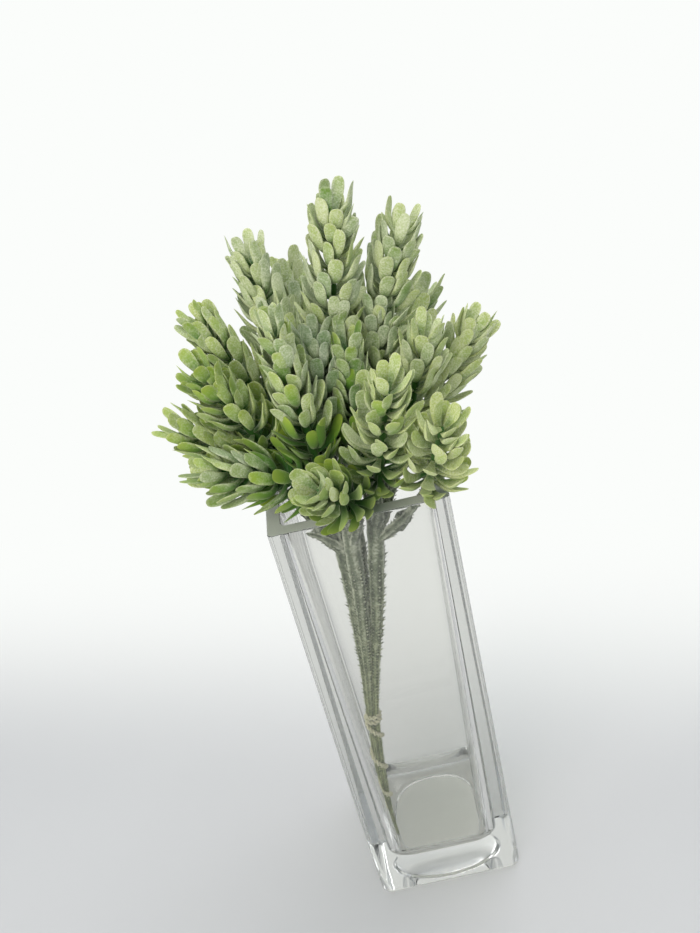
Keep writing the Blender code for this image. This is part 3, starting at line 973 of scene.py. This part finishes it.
def thread_line():
    """The middle of the thread, on the outside of the bundle all the way down."""
    turns = np.linspace(0, THREAD_PATH[-1][1], THREAD_STATIONS)
    heights = np.interp(turns, [t for _, t in THREAD_PATH], [z for z, _ in THREAD_PATH])
    heights = eased(heights[:, None], 60)[:, 0]
    line = []
    for z, turn in zip(heights, turns):
        centre, ring, thickness = bundle_at(z)
        angle = math.radians(THREAD_FROM) + 2 * math.pi * turn
        reach = ring + thickness / 2 + THREAD * THREAD_OFF
        line.append(centre + reach * np.array((math.cos(angle), math.sin(angle), 0.0)))
    return np.array(line)


def cotton_thread():
    """Undyed cotton, loosely spun: dull and fibrous, cream with slightly darker fibres in the twist."""
    finish, tree, out = new_material("cream_cotton_thread")
    place = add(tree, "ShaderNodeTexCoord").outputs["Object"]
    fibre = add(tree, "ShaderNodeTexNoise", Vector=place, Scale=per_mm(0.35), Detail=3.0).outputs[0]
    shades = add(tree, "ShaderNodeValToRGB", i0=fibre)
    ramp = shades.color_ramp
    ramp.elements[0].position, ramp.elements[0].color = 0.3, linear("aaa88c")
    ramp.elements[1].position, ramp.elements[1].color = 0.7, linear("dcdac4")
    bump = add(tree, "ShaderNodeBump", Strength=0.6, Distance=0.1 * MM, Height=fibre)
    shader = add(
        tree,
        "ShaderNodeBsdfPrincipled",
        Base_Color=shades.outputs[0],
        Roughness=0.92,
        Sheen_Weight=0.3,
        Normal=bump.outputs[0],
    )
    tree.links.new(shader.outputs[0], out.inputs["Surface"])
    return finish


def two_plies(line):
    """Two strands that twist round the line, each a closed round skin."""
    run = np.concatenate([[0], np.cumsum(np.linalg.norm(np.diff(line, axis=0), axis=1))])
    points, faces = [], []
    for ply in range(2):
        strand, normals = [], []
        for i, point in enumerate(line):
            along = unit(line[min(i + 1, len(line) - 1)] - line[max(i - 1, 0)])
            first = unit(np.cross(along, (0.0, 0.0, 1.0)))
            second = np.cross(along, first)
            twist = 2 * math.pi * run[i] / PLY_PITCH + math.pi * ply
            aside = first * math.cos(twist) + second * math.sin(twist)
            strand.append(point + THREAD * PLY_OFF * aside)
            normals.append((first, second))
        turns = np.arange(PLY_SIDES) * math.pi / (PLY_SIDES / 2)
        rings = []
        for centre, (first, second) in zip(strand, normals):
            ring = np.cos(turns)[:, None] * first + np.sin(turns)[:, None] * second
            rings.append(centre + THREAD * PLY_RADIUS * ring)
        found, made_faces = skin(rings, strand[0], strand[-1])
        offset = len(points)
        points += list(found)
        faces += [tuple(offset + i for i in face) for face in made_faces]
    return points, faces


points, faces = two_plies(thread_line())
piece("wound_cotton_thread", points, faces, cotton_thread(), "binding_thread")

# ---------------------------------------------------------------------------
# The table: a plain sheet of pale matt paper that sweeps up behind, with a
# soft lamp in front on the left, a second one overhead and a pale room round.
# ---------------------------------------------------------------------------

# The sheet is measured in metres.
SHEET_HALF_WIDTH = 2.4
SWEEP_START = 0.42
SWEEP_RADIUS = 0.5
SWEEP_TURN = math.radians(78)
SWEEP_STEPS = 16
# Glass touches a table only at a few points, so the foot mirrors what is above it.
SHEET_GAP = 0.00015


def sweep_points():
    """The sheet from the side: flat, then a curve up, then a slope."""
    profile = [(y, -SHEET_GAP) for y in (-2.2, -0.9, -0.3, 0.1, SWEEP_START)]
    for step in range(1, SWEEP_STEPS + 1):
        angle = SWEEP_TURN * step / SWEEP_STEPS
        y = SWEEP_START + SWEEP_RADIUS * math.sin(angle)
        profile.append((y, SWEEP_RADIUS * (1 - math.cos(angle)) - SHEET_GAP))
    y, z = profile[-1]
    profile.append((y + 0.3, z + 1.6))
    return profile


def seen_rays(tree):
    """1 for what the eye, a reflection or glass shows, and 0 for the light that falls on things."""
    rays = add(tree, "ShaderNodeLightPath")
    seen = rays.outputs["Is Camera Ray"]
    for kind in ("Is Glossy Ray", "Is Transmission Ray"):
        seen = add(tree, "ShaderNodeMath", {"operation": "MAXIMUM"}, i0=seen, i1=rays.outputs[kind])
        seen = seen.outputs[0]
    return seen


def pale_sheet():
    """Smooth matt paper, pale grey where the vase stands, with painted light: paler where it rises behind,
    and there a white glow for the eye, reflections and glass.
    """
    finish, tree, out = new_material("matt_paper_with_painted_light")
    place = add(tree, "ShaderNodeNewGeometry").outputs["Position"]
    apart = add(tree, "ShaderNodeSeparateXYZ", Vector=place)
    slant = add(
        tree,
        "ShaderNodeMath",
        {"operation": "MULTIPLY_ADD"},
        i0=apart.outputs[0],
        i1=0.3,
        i2=apart.outputs[1],
    )
    rise = add(
        tree,
        "ShaderNodeMapRange",
        {"interpolation_type": "SMOOTHERSTEP"},
        i0=slant.outputs[0],
        i1=0.0,
        i2=0.22,
    )
    # The painted light on it falls off to the sides, well outside what stands on it.
    aside = add(tree, "ShaderNodeMath", {"operation": "ABSOLUTE"}, i0=apart.outputs[0])
    fade = add(
        tree,
        "ShaderNodeMapRange",
        {"interpolation_type": "SMOOTHSTEP"},
        i0=aside.outputs[0],
        i1=0.6,
        i2=1.4,
        i3=1.0,
        i4=0.4,
    )
    rise = add(tree, "ShaderNodeMath", {"operation": "MULTIPLY"}, i0=rise.outputs[0], i1=fade.outputs[0])
    # Soft clouds in the painted light.
    cloud = add(tree, "ShaderNodeTexNoise", Vector=place, Scale=per_mm(180.0), Detail=2.0).outputs[0]
    soft = add(tree, "ShaderNodeMath", {"operation": "MULTIPLY_ADD"}, i0=cloud, i1=0.12, i2=rise.outputs[0])
    colour = add(
        tree,
        "ShaderNodeMix",
        {"data_type": "RGBA"},
        i0=soft.outputs[0],
        i6=linear("cacbcd"),
        i7=linear("e6e7e6"),
    )
    paper = add(tree, "ShaderNodeBsdfDiffuse", Color=colour.outputs[2])
    # A painted white glow where the sheet rises behind, seen by the eye, reflections and glass.
    glow = add(tree, "ShaderNodeEmission", Color=linear("fbfdfb"), Strength=1.0)
    share = add(tree, "ShaderNodeMath", {"operation": "MULTIPLY"}, i0=seen_rays(tree), i1=rise.outputs[0])
    mixed = add(tree, "ShaderNodeMixShader", i0=share.outputs[0], i1=paper.outputs[0], i2=glow.outputs[0])
    tree.links.new(mixed.outputs[0], out.inputs["Surface"])
    return finish


def build_table():
    """The sheet as a mesh, which stays out of the object."""
    profile = sweep_points()
    points = [(x, y, z) for y, z in profile for x in (-SHEET_HALF_WIDTH, SHEET_HALF_WIDTH)]
    faces = [(2 * i, 2 * i + 1, 2 * i + 3, 2 * i + 2) for i in range(len(profile) - 1)]
    mesh = bpy.data.meshes.new("pale_sheet")
    mesh.from_pydata(points, [], faces)
    mesh.polygons.foreach_set("use_smooth", [True] * len(mesh.polygons))
    mesh.materials.append(pale_sheet())
    sheet = bpy.data.objects.new("pale_sheet", mesh)
    bpy.context.scene.collection.objects.link(sheet)


def soft_light(name, place, target, size, power, tone, through):
    """A large square lamp that faces a point, and may or may not be seen through glass."""
    lamp = bpy.data.lights.new(name, "AREA")
    lamp.shape = "SQUARE"
    lamp.size = size
    lamp.energy = power
    lamp.color = linear(tone)[:3]
    made = bpy.data.objects.new(name, lamp)
    made.location = place
    made.visible_transmission = through
    made.rotation_euler = (Vector(target) - Vector(place)).to_track_quat("-Z", "Y").to_euler()
    bpy.context.scene.collection.objects.link(made)


build_table()
middle = (0.0, 0.0, 0.2)
soft_light("window_front_left", (-0.55, -0.95, 0.9), middle, 0.8, 10.0, "fffaee", False)
soft_light("ceiling_bounce", (0.3, 0.3, 1.2), middle, 0.65, 5.1, "ffffff", True)

# The room is a little brighter on the far side, and its light on things is weaker than it looks.
world = bpy.data.worlds.new("soft_room")
bpy.context.scene.world = world
world.use_nodes = True
tree = world.node_tree
tree.nodes.clear()
way = add(tree, "ShaderNodeTexCoord").outputs["Generated"]
parts = add(tree, "ShaderNodeSeparateXYZ", Vector=way)
aside = add(tree, "ShaderNodeMath", {"operation": "ABSOLUTE"}, i0=parts.outputs[0])
back = add(
    tree,
    "ShaderNodeMath",
    {"operation": "MULTIPLY_ADD"},
    i0=aside.outputs[0],
    i1=-0.8,
    i2=parts.outputs[1],
)
towards_back = add(tree, "ShaderNodeMapRange", i0=back.outputs[0], i1=-0.9, i2=0.6, i3=0.0, i4=1.0)
room = add(
    tree,
    "ShaderNodeMix",
    {"data_type": "RGBA"},
    i0=towards_back.outputs[0],
    i6=linear("d6dbe0"),
    i7=linear("eef3fa"),
)
strength = add(tree, "ShaderNodeMapRange", i0=seen_rays(tree), i3=0.74, i4=0.9)
sky = add(tree, "ShaderNodeBackground", Color=room.outputs[2], Strength=strength.outputs[0])
end = add(tree, "ShaderNodeOutputWorld")
tree.links.new(sky.outputs[0], end.inputs["Surface"])

# ---------------------------------------------------------------------------
# The camera looks down on the front of the vase from a little above the
# leaves, tilted to one side.
# ---------------------------------------------------------------------------

YAW, PITCH, ROLL = (math.radians(a) for a in (-2.4132, 33.9735, -14.3204))
CAMERA_AT = (12.577, -294.785, 398.288)
ahead = Vector((math.sin(YAW) * math.cos(PITCH), math.cos(YAW) * math.cos(PITCH), -math.sin(PITCH)))
level = Vector((math.cos(YAW), -math.sin(YAW), 0.0))
right = level * math.cos(ROLL) + level.cross(ahead) * math.sin(ROLL)
camera = bpy.data.objects.new("camera", bpy.data.cameras.new("camera"))
camera.data.lens = 40.0
camera.data.sensor_width = 36.0
camera.data.clip_start = 0.01
camera.matrix_world = Matrix((right, right.cross(ahead), -ahead)).transposed().to_4x4()
camera.matrix_world.translation = Vector(CAMERA_AT) * MM
bpy.context.scene.collection.objects.link(camera)
bpy.context.scene.camera = camera
bpy.context.scene.view_settings.view_transform = "Standard"
# Light is passed on through the many faces of the thick glass, so none of its corners goes black.
for kind in ("max_bounces", "glossy_bounces", "transmission_bounces", "transparent_max_bounces"):
    setattr(bpy.context.scene.cycles, kind, 24)
